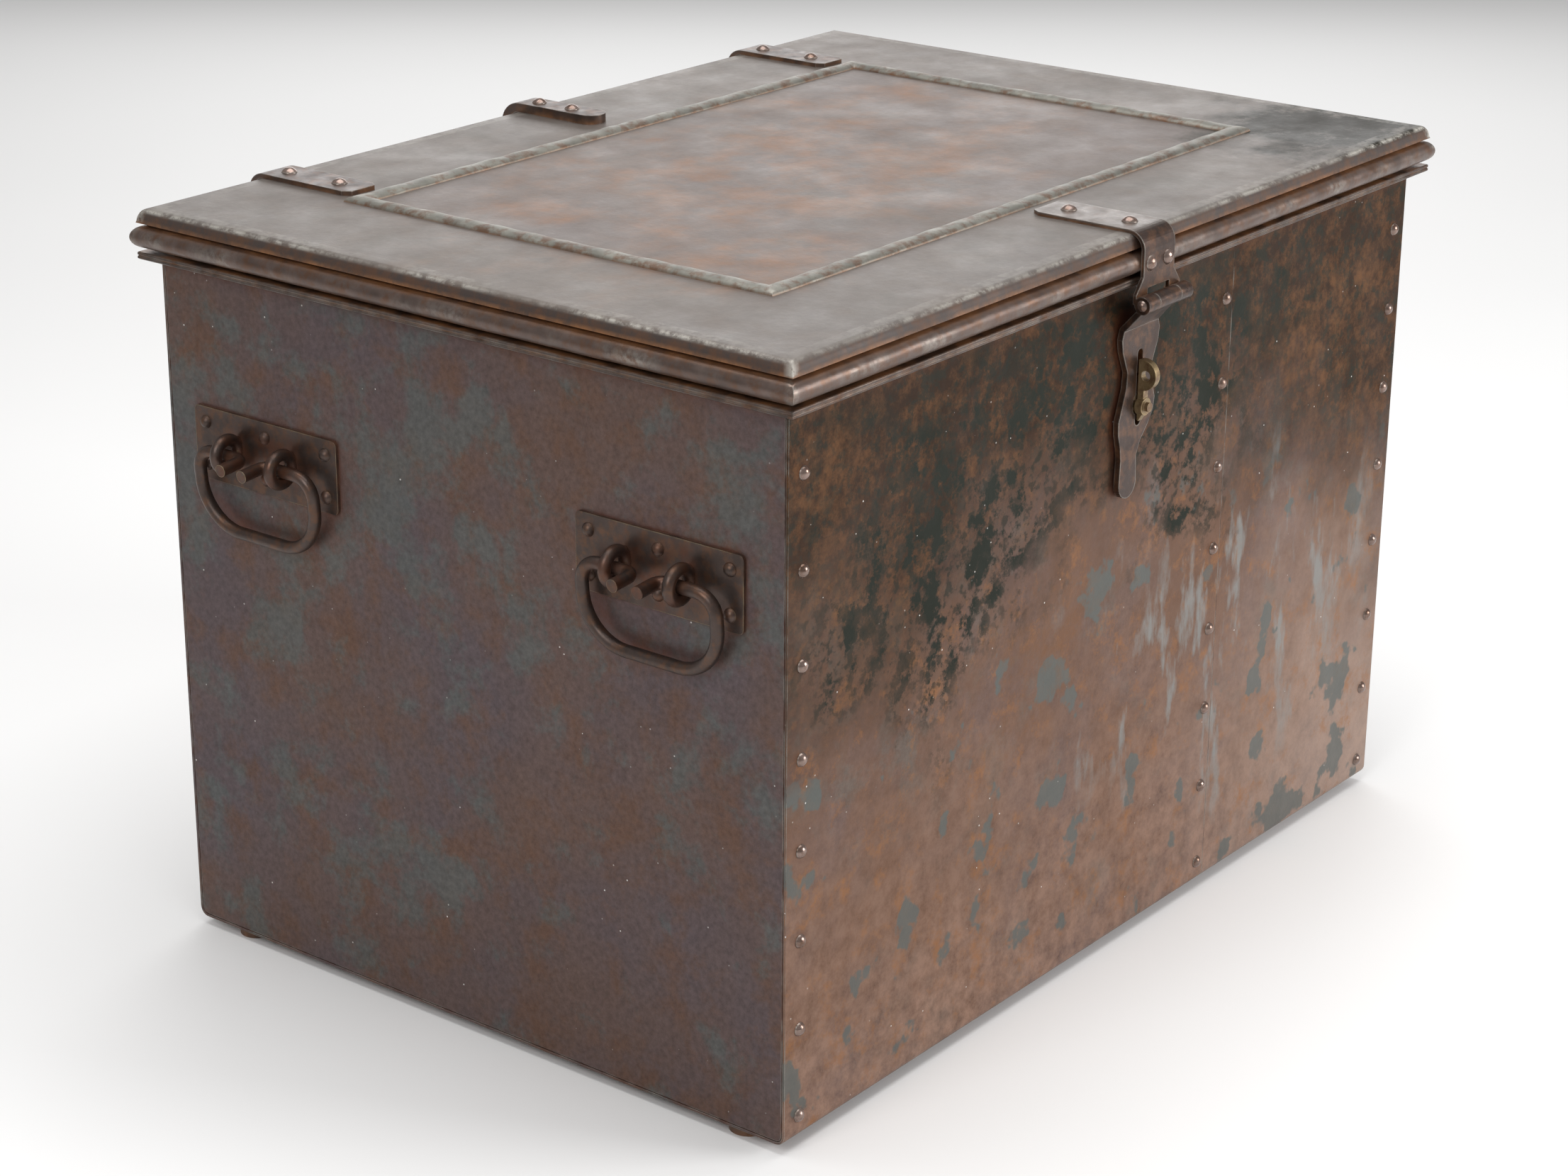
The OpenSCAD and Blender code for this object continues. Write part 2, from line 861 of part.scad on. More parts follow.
// Forged bar between the hinges. Its tail hooks down behind the lid.
module stop_bar() {
    tip = [pivot_out + stop_reach * sin(stop_lag), body_top - stop_reach * cos(stop_lag)];
    knee = [edge_out + stop_t / 2, body_top + 6];
    lean = atan2(tip[1] - knee[1], tip[0] - knee[0]);
    across = [stop_t / 2 * sin(lean), -stop_t / 2 * cos(lean)];
    color(dark_iron)
        difference() {
            translate([0, half_d, 0])
                union() {
                    intersection() {
                        along_x(-stop_w / 2, stop_w / 2)
                            strap_profile(stop_len, stop_t, knee[1]);
                        linear_extrude(far) {
                            translate([0, -stop_len + stop_w / 2]) circle(d = stop_w);
                            translate([-stop_w / 2, -stop_len + stop_w / 2])
                                square([stop_w, stop_len + 40]);
                        }
                    }
                    along_x(-stop_w / 2, stop_w / 2) {
                        translate(knee) circle(d = stop_t);
                        translate(tip) circle(d = stop_t);
                        polygon([knee + across, tip + across, tip - across, knee - across]);
                    }
                }
            stop_rivet_places() rivet_hole();
        }
}

module stop_bar_rivets() {
    color(worn_iron)
        stop_rivet_places()
            translate([0, 0, stop_t])
                rivet(stop_t + lid_sheet, strap_rivet_d);
}

// ---- hasp ----

// Strap over the front of the lid, flared to two knuckles at its lower end
module hasp_strap() {
    neck = hasp_pivot_z + knuckle_r;
    eye_in = hasp_mid + free_gap;
    color(dark_iron)
        difference() {
            union() {
                translate([0, -half_d, 0])
                    mirror([0, 1, 0])
                        intersection() {
                            along_x(-hasp_strap_w / 2, hasp_strap_w / 2)
                                strap_profile(hasp_strap_len, hasp_strap_t, lid_z);
                            strap_plan(hasp_strap_w, hasp_strap_len, strap_clip);
                        }
                along_y(-half_d - edge_out - hasp_strap_t, -half_d - edge_out)
                    polygon([[-hasp_strap_w / 2, lid_z + 1], [-hasp_strap_w / 2, neck + 12],
                             [-hasp_half_barrel, neck], [-hasp_half_barrel, hasp_pivot_z],
                             [-eye_in, hasp_pivot_z], [-eye_in, neck + 3],
                             [eye_in, neck + 3], [eye_in, hasp_pivot_z],
                             [hasp_half_barrel, hasp_pivot_z], [hasp_half_barrel, neck],
                             [hasp_strap_w / 2, neck + 12], [hasp_strap_w / 2, lid_z + 1]]);
                for (side = [-1, 1])
                    along_x(side < 0 ? -hasp_half_barrel : eye_in,
                            side < 0 ? -eye_in : hasp_half_barrel)
                        translate([hasp_pivot_y, hasp_pivot_z])
                            circle(r = knuckle_r);
            }
            hasp_strap_top_places() rivet_hole();
            hasp_strap_drop_places() rivet_hole();
            translate([0, hasp_pivot_y, hasp_pivot_z])
                rotate([0, 90, 0])
                    cylinder(d = pin_d + 2 * snug_gap, h = 4 * hasp_half_barrel, center = true);
        }
}

module hasp_strap_rivets() {
    color(worn_iron) {
        hasp_strap_top_places()
            translate([0, 0, hasp_strap_t])
                rivet(hasp_strap_t + lid_sheet, strap_rivet_d);
        hasp_strap_drop_places()
            translate([0, 0, hasp_strap_t])
                rivet(hasp_strap_t + free_gap + bead_out + lid_sheet, strap_rivet_d);
    }
}

module hasp_pin() {
    color(worn_iron)
        translate([0, hasp_pivot_y, hasp_pivot_z])
            pin(hasp_half_barrel);
}

// Sideways place of the hasp's centre line at a distance below the pivot
function hasp_centre(drop) = drop < 90 ? 0 : -hasp_lean * min(1, (drop - 90) / 35);

module hasp_outline() {
    right = [for (p = hasp_half) [hasp_centre(p[0]) + p[1], hasp_pivot_z - p[0]]];
    left = [for (i = [len(hasp_half) - 1:-1:0])
            [hasp_centre(hasp_half[i][0]) - hasp_half[i][1], hasp_pivot_z - hasp_half[i][0]]];
    foot = arc(-hasp_lean, hasp_pivot_z - hasp_len + hasp_foot_r, hasp_foot_r, 0, -180, 12);
    polygon(concat(right, foot, left));
}

// Side view of the cranked plate, from the pivot to below its foot
module hasp_side() {
    half_t = hasp_t / 2;
    pivot = [hasp_pivot_y, hasp_pivot_z];
    bend = [hasp_y, hasp_pivot_z - hasp_bend_drop];
    back_angle = 90 + atan2(bend[1] - pivot[1], bend[0] - pivot[0]);
    back = half_t * [cos(back_angle), sin(back_angle)];
    inside = half_t / cos(back_angle / 2) * [cos(back_angle / 2), sin(back_angle / 2)];
    low = hasp_pivot_z - hasp_len - hasp_t;
    polygon(concat([pivot + back], arc(bend[0], bend[1], half_t, back_angle, 0, 6),
                   [[hasp_y + half_t, low], [hasp_y - half_t, low], bend - inside, pivot - back]));
}

module hasp_slot() {
    slot_half = slot_w / 2;
    translate([-slot_half, hasp_pivot_z - slot_bottom + slot_half])
        square([slot_w, slot_bottom - slot_top - slot_w]);
    for (drop = [slot_top + slot_half, slot_bottom - slot_half])
        translate([0, hasp_pivot_z - drop])
            circle(d = slot_w);
    for (rise = [0, slot_eye_rise])
        translate([0, staple_z + rise])
            circle(d = slot_eye_d);
}

// Cranked plate with a swelling outline and a slot that drops over the swivel
module hasp_plate() {
    color(worn_iron)
        difference() {
            union() {
                intersection() {
                    along_y(hasp_pivot_y - knuckle_r, -half_d) hasp_outline();
                    along_x(-hasp_half_barrel, hasp_half_barrel) hasp_side();
                }
                along_x(-hasp_mid, hasp_mid)
                    translate([hasp_pivot_y, hasp_pivot_z])
                        circle(r = knuckle_r);
            }
            translate([0, hasp_pivot_y, hasp_pivot_z])
                rotate([0, 90, 0])
                    cylinder(d = pin_d + 2 * fit_gap, h = 4 * hasp_mid, center = true);
            along_y(hasp_y - hasp_t, hasp_y + hasp_t) hasp_slot();
        }
}

// ---- assembly ----

module right_end() {
    mirror([1, 0, 0]) children();
}

end_plate();  // end_plate_left
right_end() end_plate();  // end_plate_right
wrap_sheet_left();
wrap_sheet_right();
rim_frame();
color(worn_iron) wrap_rivets(-column_x, 2 * sheet);  // corner_rivets_left
color(worn_iron) wrap_rivets(column_x, 2 * sheet);  // corner_rivets_right
color(worn_iron) wrap_rivets(seam_x, 2 * sheet);  // seam_rivets
runner(-runner_y);  // runner_front
runner(runner_y);  // runner_rear
runner_rivets();
handle_plate(front_y);  // handle_plate_left_front
handle_plate(rear_y);  // handle_plate_left_rear
right_end() handle_plate(front_y);  // handle_plate_right_front
right_end() handle_plate(rear_y);  // handle_plate_right_rear
plate_rivets(front_y);  // plate_rivets_left_front
plate_rivets(rear_y);  // plate_rivets_left_rear
right_end() plate_rivets(front_y);  // plate_rivets_right_front
right_end() plate_rivets(rear_y);  // plate_rivets_right_rear
bail_eyes(front_y);  // bail_eyes_left_front
bail_eyes(rear_y);  // bail_eyes_left_rear
right_end() bail_eyes(front_y);  // bail_eyes_right_front
right_end() bail_eyes(rear_y);  // bail_eyes_right_rear
bail(front_y);  // bail_left_front
bail(rear_y);  // bail_left_rear
right_end() bail(front_y);  // bail_right_front
right_end() bail(rear_y);  // bail_right_rear
staple_bush();
swivel_staple();
staple_washer();
staple_nut();
hinge_leaf(-hinge_left);  // hinge_leaf_left
hinge_leaf(hinge_right);  // hinge_leaf_right
leaf_rivets(-hinge_left);  // leaf_rivets_left
leaf_rivets(hinge_right);  // leaf_rivets_right
hinge_pin(-hinge_left);  // hinge_pin_left
hinge_pin(hinge_right);  // hinge_pin_right
lid_top_sheet();
lid_border();
lid_bead();
lid_moulding();
hinge_strap(-hinge_left);  // hinge_strap_left
hinge_strap(hinge_right);  // hinge_strap_right
strap_rivets(-hinge_left);  // strap_rivets_left
strap_rivets(hinge_right);  // strap_rivets_right
stop_bar();
stop_bar_rivets();
hasp_strap();
hasp_strap_rivets();
hasp_pin();
hasp_plate();
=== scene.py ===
import math

import bmesh
import bpy
from mathutils import Matrix, Vector, noise


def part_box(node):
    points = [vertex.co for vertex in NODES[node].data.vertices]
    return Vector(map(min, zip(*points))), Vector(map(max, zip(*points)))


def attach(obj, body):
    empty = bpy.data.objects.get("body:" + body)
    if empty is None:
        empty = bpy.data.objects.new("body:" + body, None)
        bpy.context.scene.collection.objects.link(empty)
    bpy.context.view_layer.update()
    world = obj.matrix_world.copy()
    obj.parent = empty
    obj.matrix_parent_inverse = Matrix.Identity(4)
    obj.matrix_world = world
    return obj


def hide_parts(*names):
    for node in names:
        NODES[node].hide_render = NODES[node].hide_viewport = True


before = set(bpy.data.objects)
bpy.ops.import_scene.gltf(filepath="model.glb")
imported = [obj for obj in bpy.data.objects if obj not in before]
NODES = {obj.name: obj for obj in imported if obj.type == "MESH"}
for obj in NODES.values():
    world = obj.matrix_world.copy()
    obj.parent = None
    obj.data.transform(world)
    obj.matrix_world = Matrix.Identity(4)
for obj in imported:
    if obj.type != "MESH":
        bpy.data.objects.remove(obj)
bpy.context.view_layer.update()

MM = 0.001

# Colours, linear, from the sheets to the forgings and the floor
BROWN_STEEL = (0.115, 0.076, 0.065)
PURPLE_STEEL = (0.098, 0.076, 0.080)
TEAL_STEEL = (0.092, 0.108, 0.104)
UMBER = (0.125, 0.064, 0.038)
DARK_UMBER = (0.050, 0.024, 0.011)
PINK_DUST = (0.30, 0.185, 0.135)
ORANGE_RUST = (0.26, 0.115, 0.045)
RED_RUST = (0.17, 0.055, 0.030)
DARK_SCALE = (0.014, 0.017, 0.012)
BLUE_BLOOM = (0.22, 0.23, 0.225)
LID_STEEL = (0.160, 0.134, 0.117)
LID_GREY = (0.172, 0.160, 0.143)
LID_SCALE = (0.013, 0.010, 0.005)
MOULDING_GREY = (0.155, 0.150, 0.130)
HASP_BROWN = (0.042, 0.027, 0.022)
DARK_FORGED = (0.058, 0.042, 0.036)
WORN_STEEL = (0.40, 0.38, 0.34)
BRONZE = (0.20, 0.145, 0.075)
WORN_BRONZE = (0.55, 0.42, 0.24)
PALE_SPECK = (0.60, 0.57, 0.54)
# Painted reflection of the floor, lightening the front's bottom right
PAINTED_FLOOR_REFLECTION = (0.42, 0.33, 0.28)
EYE_RUST = (0.115, 0.048, 0.028)
WORN_YELLOW = (0.40, 0.33, 0.20)
FLOOR_WHITE = (0.86, 0.855, 0.85)


def times(colour, factor):
    return tuple(factor * channel for channel in colour)


# ---- places read from the frame ----

def centre(node):
    low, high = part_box(node)
    return (low + high) / 2


LEFT_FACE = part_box("end_plate_left")[0].x
FRONT_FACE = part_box("wrap_sheet_left")[0].y
LID_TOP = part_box("lid_border")[1].z
BEAD_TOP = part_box("lid_bead")[1].z

# Section of the lid's border, measured outward from the body
BORDER_IN = 4 * MM
CROWN_IN = 5.5 * MM
CROWN_HIGH = 11 * MM
SKIRT_OUT = 7 * MM
LID_SHEET = 2.5 * MM

# Section of the raised moulding on the lid, and how far a bar's foot is sunk into the iron below
MOULDING_WIDTH = 17 * MM
SUNK = 0.4 * MM

# Weathered patches, as (middle, half sizes, raggedness)
FRONT_GLOW = (((-0.40, FRONT_FACE, 0.53), (0.05, 0.05, 0.07), 0.4),
              ((0.32, FRONT_FACE, 0.46), (0.09, 0.05, 0.06), 0.5),
              ((-0.12, FRONT_FACE, 0.30), (0.08, 0.05, 0.08), 0.5))
FRONT_SCALE = (((-0.26, FRONT_FACE, 0.42), (0.16, 0.05, 0.13), 0.5),
               ((-0.03, FRONT_FACE, 0.50), (0.26, 0.05, 0.09), 0.5),
               ((0.09, FRONT_FACE, 0.44), (0.10, 0.05, 0.12), 0.5))
FRONT_BLOOM = (((0.17, FRONT_FACE, 0.24), (0.24, 0.05, 0.17), 0.4),)
LID_RUST = (((-0.27, -0.14, LID_TOP), (0.12, 0.07, 0.05), 0.6),
            ((-0.02, 0.02, LID_TOP), (0.34, 0.18, 0.05), 0.6))
LID_CORNER_SCALE = (((0.40, -0.28, LID_TOP), (0.15, 0.14, 0.06), 0.5),)


# ---- shader building ----

class Shader:
    """Builds one node material. Its coordinates are the frame's own, which ride with each body."""

    def __init__(self, name):
        self.material = bpy.data.materials.new(name)
        self.material.use_nodes = True
        self.tree = self.material.node_tree
        self.tree.nodes.clear()
        self.place = self.add("ShaderNodeTexCoord").outputs["Object"]

    def add(self, kind, inputs=None, **settings):
        node = self.tree.nodes.new(kind)
        for key, value in settings.items():
            setattr(node, key, value)
        for key, value in (inputs or {}).items():
            self.fill(node.inputs[key], value)
        return node

    def fill(self, socket, value):
        if isinstance(value, bpy.types.NodeSocket):
            self.tree.links.new(value, socket)
        elif isinstance(value, tuple) and socket.type == "RGBA":
            socket.default_value = (*value, 1.0)
        else:
            socket.default_value = value

    def math(self, operation, a, b=0.0):
        return self.add("ShaderNodeMath", {0: a, 1: b}, operation=operation).outputs[0]

    def remap(self, value, low, high, to_low=0.0, to_high=1.0):
        names = ("Value", "From Min", "From Max", "To Min", "To Max")
        settings = dict(zip(names, (value, low, high, to_low, to_high)))
        return self.add("ShaderNodeMapRange", settings, clamp=True).outputs["Result"]

    def scaled(self, stretch, shift):
        """Place, stretched and then shifted."""
        settings = {"Vector": self.place, "Location": shift, "Scale": stretch}
        return self.add("ShaderNodeMapping", settings).outputs["Vector"]

    def noise(self, per_metre, detail=4.0, roughness=0.55, stretch=(1.0, 1.0, 1.0), shift=0.0,
              distortion=0.0):
        settings = {"Vector": self.scaled(stretch, (shift, 0.7 * shift, 1.3 * shift)),
                    "Scale": per_metre, "Detail": detail, "Roughness": roughness,
                    "Distortion": distortion}
        return self.add("ShaderNodeTexNoise", settings).outputs["Fac"]

    def cells(self, per_metre):
        """Distance from the nearest of many scattered points."""
        settings = {"Vector": self.place, "Scale": per_metre}
        return self.add("ShaderNodeTexVoronoi", settings).outputs["Distance"]

    def axis(self, name):
        return self.add("ShaderNodeSeparateXYZ", {0: self.place}).outputs[name]

    def shade(self, colour, factor):
        """Colour made lighter or darker by a factor."""
        node = self.add("ShaderNodeVectorMath", {0: colour, "Scale": factor}, operation="SCALE")
        return node.outputs["Vector"]

    def mix(self, share, a, b):
        node = self.add("ShaderNodeMix", {0: share, 6: a, 7: b}, data_type="RGBA")
        return node.outputs[2]

    def blob(self, middle, radii, ragged, ragged_scale=14.0):
        """1 inside an ellipsoid about middle, 0 outside, with a soft ragged edge."""
        scale = tuple(1.0 / r for r in radii)
        shift = tuple(-m / r for m, r in zip(middle, radii))
        offset = self.scaled(scale, shift)
        length = self.add("ShaderNodeVectorMath", {0: offset}, operation="LENGTH")
        rough = self.remap(self.noise(ragged_scale, 6.0, 0.65), 0.3, 0.7, -ragged, ragged)
        return self.remap(self.math("ADD", length.outputs["Value"], rough), 1.15, 0.55)

    def patches(self, places):
        """1 inside any of a table's patches."""
        return self.either(*[self.blob(*place) for place in places])

    def either(self, *masks):
        """The strongest of several masks."""
        found = masks[0]
        for mask in masks[1:]:
            found = self.math("MAXIMUM", found, mask)
        return found

    def both(self, a, b):
        return self.math("MULTIPLY", a, b)

    def edges(self, radius):
        """1 along outside and inside edges."""
        bevel = self.add("ShaderNodeBevel", {"Radius": radius}, samples=6)
        geometry = self.add("ShaderNodeNewGeometry")
        dot = self.add("ShaderNodeVectorMath", {0: bevel.outputs[0], 1: geometry.outputs["Normal"]},
                       operation="DOT_PRODUCT")
        return self.remap(dot.outputs["Value"], 0.995, 0.90)

    def rounded(self, radius):
        """Normal with the sharp edges softened."""
        return self.add("ShaderNodeBevel", {"Radius": radius}, samples=4).outputs[0]

    def crevice(self, distance):
        """1 deep in corners and round the feet of rivets."""
        near = self.add("ShaderNodeAmbientOcclusion", {"Distance": distance}, samples=6)
        return self.remap(near.outputs["AO"], 0.90, 0.45)

    def wear(self):
        """Wear written on the vertices of a moulding, 0 elsewhere."""
        return self.add("ShaderNodeAttribute", attribute_name="wear").outputs["Fac"]

    def bump(self, height, distance, strength, under=None):
        settings = {"Height": height, "Distance": distance, "Strength": strength}
        if under is not None:
            settings["Normal"] = under
        return self.add("ShaderNodeBump", settings).outputs["Normal"]

    def finish(self, colour, roughness, metallic, normal, specular=0.5):
        """Closes the material. The specular level stays unlinked, for the export."""
        settings = {"Base Color": colour, "Roughness": roughness, "Metallic": metallic,
                    "Normal": normal}
        surface = self.add("ShaderNodeBsdfPrincipled", settings)
        surface.inputs["Specular IOR Level"].default_value = specular
        output = self.add("ShaderNodeOutputMaterial")
        self.tree.links.new(surface.outputs[0], output.inputs["Surface"])
        return self.material


# ---- materials ----

def mottled_steel(s, shift=0.0, teal=0.62):
    """Brown and purplish oxide with ragged teal clouds and umber stains, as colour."""
    brown = s.remap(s.noise(5.0, 4.0, 0.6, shift=shift), 0.38, 0.62)
    tone = s.mix(brown, PURPLE_STEEL, BROWN_STEEL)
    stains = s.noise(21.0, 8.0, 0.68, shift=shift + 7.0, distortion=0.1)
    tone = s.mix(s.remap(stains, 0.48, 0.64, 0.0, 0.6), tone, UMBER)
    drift = s.remap(s.noise(3.5, 3.0, 0.5, shift=shift + 9.0), 0.35, 0.65, -0.05, 0.06)
    clouds = s.math("ADD", s.noise(19.0, 9.0, 0.68, shift=shift + 3.0, distortion=0.15), drift)
    tone = s.mix(s.remap(clouds, 0.52, 0.62, 0.0, teal), tone, TEAL_STEEL)
    grain = s.remap(s.noise(210.0, 6.0, 0.75, shift=shift), 0.3, 0.7, 0.74, 1.26)
    return s.shade(tone, grain)


def sheet_bump(s, fine=1.0, under=None):
    """Long soft dents with a fine pitted skin."""
    dents = s.bump(s.noise(7.0, 2.0, 0.45), 6.0 * MM, 0.5, under)
    pits = s.bump(s.noise(160.0, 4.0, 0.6), 0.5 * MM, 0.35 * fine, dents)
    return s.bump(s.noise(700.0, 2.0, 0.5), 0.15 * MM, 0.3 * fine, pits)


def eye_rust(s):
    """1 on the sheet and plates round the handles' eyes."""
    masks = [s.blob(centre(node), (0.05, 0.055, 0.024), 0.4, 40.0)
             for node in NODES if node.startswith("bail_eyes")]
    return s.either(*masks)


def front_patina_and_painted_reflection(s, colour):
    """The front's own weathering: dark and flaking above, dusty below, pale bloom on the right. Its
    bottom right is also made paler with a painted reflection of the floor.
    Gives its colour, and a mask of the parts where no metal shines through."""
    drift = s.remap(s.noise(6.0, 5.0, 0.6, shift=3.0), 0.3, 0.7, -0.07, 0.07)
    height = s.math("ADD", s.axis("Z"), drift)
    warm = s.remap(s.noise(9.0, 6.0, 0.62, shift=11.0), 0.36, 0.60, 0.3, 0.9)
    colour = s.mix(warm, colour, UMBER)
    dusty = s.remap(s.noise(48.0, 9.0, 0.76, shift=13.0), 0.32, 0.60)
    dust = s.both(s.remap(height, 0.34, 0.02), dusty)
    colour = s.mix(s.both(dust, 0.85), colour, PINK_DUST)
    # Painted reflection of the floor: the front is made paler towards the bottom and the right
    painted_reflection_share = s.both(s.remap(s.axis("X"), 0.08, 0.40), s.remap(height, 0.34, 0.10, 0.0, 0.4))
    colour = s.mix(painted_reflection_share, colour, PAINTED_FLOOR_REFLECTION)
    orange = s.remap(s.noise(38.0, 9.0, 0.76, shift=17.0), 0.53, 0.66, 0.0, 0.7)
    colour = s.mix(orange, colour, ORANGE_RUST)
    streaks = s.remap(s.noise(34.0, 6.0, 0.62, (1.0, 1.0, 0.30), shift=5.0), 0.54, 0.64, 0.0, 0.75)
    colour = s.mix(s.both(s.patches(FRONT_BLOOM), streaks), colour, BLUE_BLOOM)
    patches = s.remap(s.noise(20.0, 4.0, 0.55, shift=23.0), 0.60, 0.63, 0.0, 0.8)
    colour = s.mix(s.both(patches, s.remap(height, 0.42, 0.30)), colour, TEAL_STEEL)
    right_end = s.remap(s.axis("X"), 0.10, 0.42, 0.0, 0.10)
    oily = s.remap(s.math("ADD", height, right_end), 0.32, 0.50, 0.0, 0.95)
    mottle = s.remap(s.noise(60.0, 9.0, 0.74, shift=27.0), 0.44, 0.64)
    above = s.mix(mottle, s.shade(DARK_UMBER, 0.5), s.shade(ORANGE_RUST, 0.36))
    specks = s.remap(s.noise(75.0, 9.0, 0.74, shift=29.0), 0.50, 0.58, 0.0, 0.85)
    colour = s.mix(oily, colour, s.mix(specks, above, DARK_SCALE))
    orange = s.remap(s.noise(50.0, 8.0, 0.74, shift=47.0), 0.46, 0.64, 0.0, 0.5)
    colour = s.mix(s.both(s.patches(FRONT_GLOW), orange), colour, s.shade(ORANGE_RUST, 0.65))
    flakes = s.either(s.remap(s.noise(34.0, 8.0, 0.7, shift=31.0), 0.49, 0.55),
                      s.remap(s.noise(110.0, 4.0, 0.6, shift=37.0), 0.52, 0.60, 0.0, 0.7))
    scale = s.both(s.patches(FRONT_SCALE), flakes)
    return s.mix(scale, colour, DARK_SCALE), s.either(scale, oily)


def body_material():
    """Sheet iron of the chest: mottled steel, the front's patina with a painted floor reflection at
    its bottom right, specks and rubbed edges.
    """
    s = Shader("body_sheet_iron")
    colour = mottled_steel(s)
    front = s.remap(s.axis("Y"), FRONT_FACE + 4.0 * MM, FRONT_FACE + 1.0 * MM)
    front_colour, dull = front_patina_and_painted_reflection(s, colour)
    colour = s.mix(front, colour, front_colour)
    colour = s.mix(s.both(eye_rust(s), 0.8), colour, RED_RUST)
    grime = s.both(s.crevice(12 * MM), s.remap(s.noise(60.0), 0.35, 0.6, 0.3, 0.9))
    colour = s.mix(s.both(grime, 0.7), colour, RED_RUST)
    specked = s.remap(s.noise(17.0, shift=41.0), 0.5, 0.6)
    specks = s.both(s.remap(s.cells(80.0), 0.060, 0.045), specked)
    colour = s.mix(specks, colour, PALE_SPECK)
    broken = s.remap(s.noise(60.0, 4.0, shift=43.0), 0.40, 0.60, 0.1, 0.7)
    rubbed = s.both(s.edges(1.0 * MM), broken)
    colour = s.mix(rubbed, colour, WORN_STEEL)
    dull = s.both(front, dull)
    roughness = s.remap(s.noise(18.0, 6.0, 0.65, shift=2.0), 0.3, 0.7, 0.36, 0.56)
    roughness = s.math("ADD", roughness, s.both(dull, 0.12))
    metallic = s.remap(dull, 0.0, 1.0, 0.42, 0.0)
    normal = sheet_bump(s, 1.0, s.rounded(1.2 * MM))
    return s.finish(colour, roughness, metallic, normal, 0.1)


def lid_material():
    """Grey-brown lid sheet: rust in the middle, scale at one corner, and a dark crown with a
    rusty foot."""
    s = Shader("lid_sheet_iron")
    colour = s.mix(0.62, mottled_steel(s, 50.0, 0.35), LID_STEEL)
    rust = s.remap(s.noise(17.0, 8.0, 0.68, shift=9.0), 0.42, 0.66, 0.0, 0.55)
    colour = s.mix(s.both(s.patches(LID_RUST), rust), colour, ORANGE_RUST)

    far_x = s.remap(s.math("ABSOLUTE", s.axis("X")), 0.28, 0.36, 0.0, 0.45)
    far_y = s.remap(s.math("ABSOLUTE", s.axis("Y")), 0.16, 0.24, 0.0, 0.45)
    grain = s.remap(s.noise(60.0, 8.0, 0.74, shift=45.0), 0.35, 0.65)
    grey = s.mix(grain, s.shade(LID_GREY, 0.8), s.shade(LID_GREY, 1.1))
    colour = s.mix(s.either(far_x, far_y), colour, grey)

    flakes = s.either(s.remap(s.noise(22.0, 8.0, 0.7, shift=13.0), 0.33, 0.47),
                      s.remap(s.noise(100.0, 5.0, 0.7, shift=19.0), 0.46, 0.58, 0.0, 0.9))
    scale = s.both(s.patches(LID_CORNER_SCALE), flakes)
    colour = s.mix(scale, colour, LID_SCALE)

    height = s.axis("Z")
    below = s.remap(height, LID_TOP - 1.0 * MM, LID_TOP - 4.0 * MM)
    uneven = s.remap(s.noise(70.0, 7.0, 0.7, shift=33.0), 0.42, 0.60)
    crown = s.mix(uneven, s.shade(DARK_FORGED, 0.8), s.shade(UMBER, 0.6))
    colour = s.mix(below, colour, crown)
    foot = s.remap(height, LID_TOP - CROWN_HIGH + 3.5 * MM, LID_TOP - CROWN_HIGH)
    lodged = s.remap(s.noise(32.0, 8.0, 0.74, shift=35.0), 0.42, 0.60, 0.1, 0.9)
    colour = s.mix(s.both(foot, lodged), colour, s.shade(ORANGE_RUST, 0.85))
    chipped = s.remap(s.noise(90.0, 7.0, 0.74, shift=39.0), 0.42, 0.56)
    colour = s.mix(s.both(s.wear(), chipped), colour, WORN_STEEL)

    roughness = s.remap(s.noise(16.0, 6.0, 0.65, shift=2.0), 0.3, 0.7, 0.38, 0.58)
    metallic = s.remap(s.either(scale, s.both(below, 0.8)), 0.0, 1.0, 0.5, 0.0)
    return s.finish(colour, roughness, metallic, sheet_bump(s, 1.2), 0.3)


